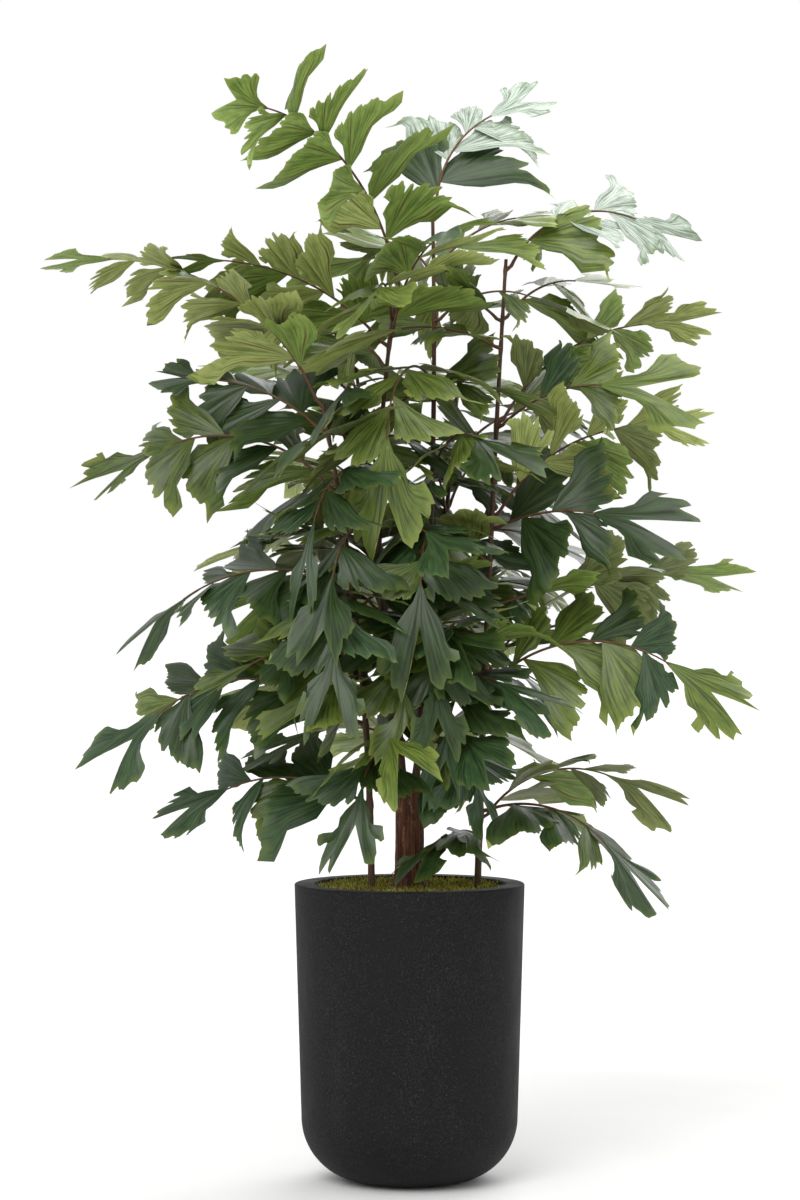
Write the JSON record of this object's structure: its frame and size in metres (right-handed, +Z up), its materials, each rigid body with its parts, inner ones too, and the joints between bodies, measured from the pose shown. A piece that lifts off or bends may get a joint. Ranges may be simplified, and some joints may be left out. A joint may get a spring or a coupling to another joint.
{
  "type": "potted fishtail palm",
  "caption": "Artificial fishtail palm in a tall round-bottomed charcoal pot: slim canes from a short bark trunk and moss carry arching fronds of ragged wedge-shaped leaflets.",
  "frame": {"origin": "middle of the pot's flat underside", "axes": "+Z up along the pot's axis, -Y towards the front, +X to the right seen from the front"},
  "size_m": [1.2688, 0.9411, 1.9165],
  "materials": {
    "pot": "matte charcoal, finely grained",
    "soil": "crumbly fill",
    "moss": "dry mottled moss",
    "bark": "fibrous bark",
    "cane": "satin",
    "leaf": "satin"
  },
  "bodies": {
    "root": {"cane_back_left": "cane", "cane_back_right": "cane", "cane_centre": "cane", "cane_left": "cane", "cane_middle": "cane", "cane_right": "cane", "frond_back_left_1": "leaf", "frond_back_left_2": "leaf", "frond_back_left_3": "leaf", "frond_back_left_4": "leaf", "frond_back_left_5": "leaf", "frond_back_left_6": "leaf", "frond_back_left_7": "leaf", "frond_back_right_1": "leaf", "frond_back_right_2": "leaf", "frond_back_right_3": "leaf", "frond_back_right_4": "leaf", "frond_back_right_5": "leaf", "frond_back_right_6": "leaf", "frond_back_right_7": "leaf", "frond_centre_1": "leaf", "frond_centre_2": "leaf", "frond_centre_3": "leaf", "frond_centre_4": "leaf", "frond_centre_5": "leaf", "frond_centre_6": "leaf", "frond_centre_7": "leaf", "frond_left_1": "leaf", "frond_left_2": "leaf", "frond_left_3": "leaf", "frond_left_4": "leaf", "frond_left_5": "leaf", "frond_left_6": "leaf", "frond_left_7": "leaf", "frond_left_8": "leaf", "frond_middle_1": "leaf", "frond_middle_2": "leaf", "frond_middle_3": "leaf", "frond_middle_4": "leaf", "frond_middle_5": "leaf", "frond_middle_6": "leaf", "frond_middle_7": "leaf", "frond_right_1": "leaf", "frond_right_10": "leaf", "frond_right_11": "leaf", "frond_right_12": "leaf", "frond_right_13": "leaf", "frond_right_14": "leaf", "frond_right_2": "leaf", "frond_right_3": "leaf", "frond_right_4": "leaf", "frond_right_5": "leaf", "frond_right_6": "leaf", "frond_right_7": "leaf", "frond_right_8": "leaf", "frond_right_9": "leaf", "moss": "moss", "pot": "pot", "soil": "soil", "trunk": "bark"}
  },
  "joints": []
}
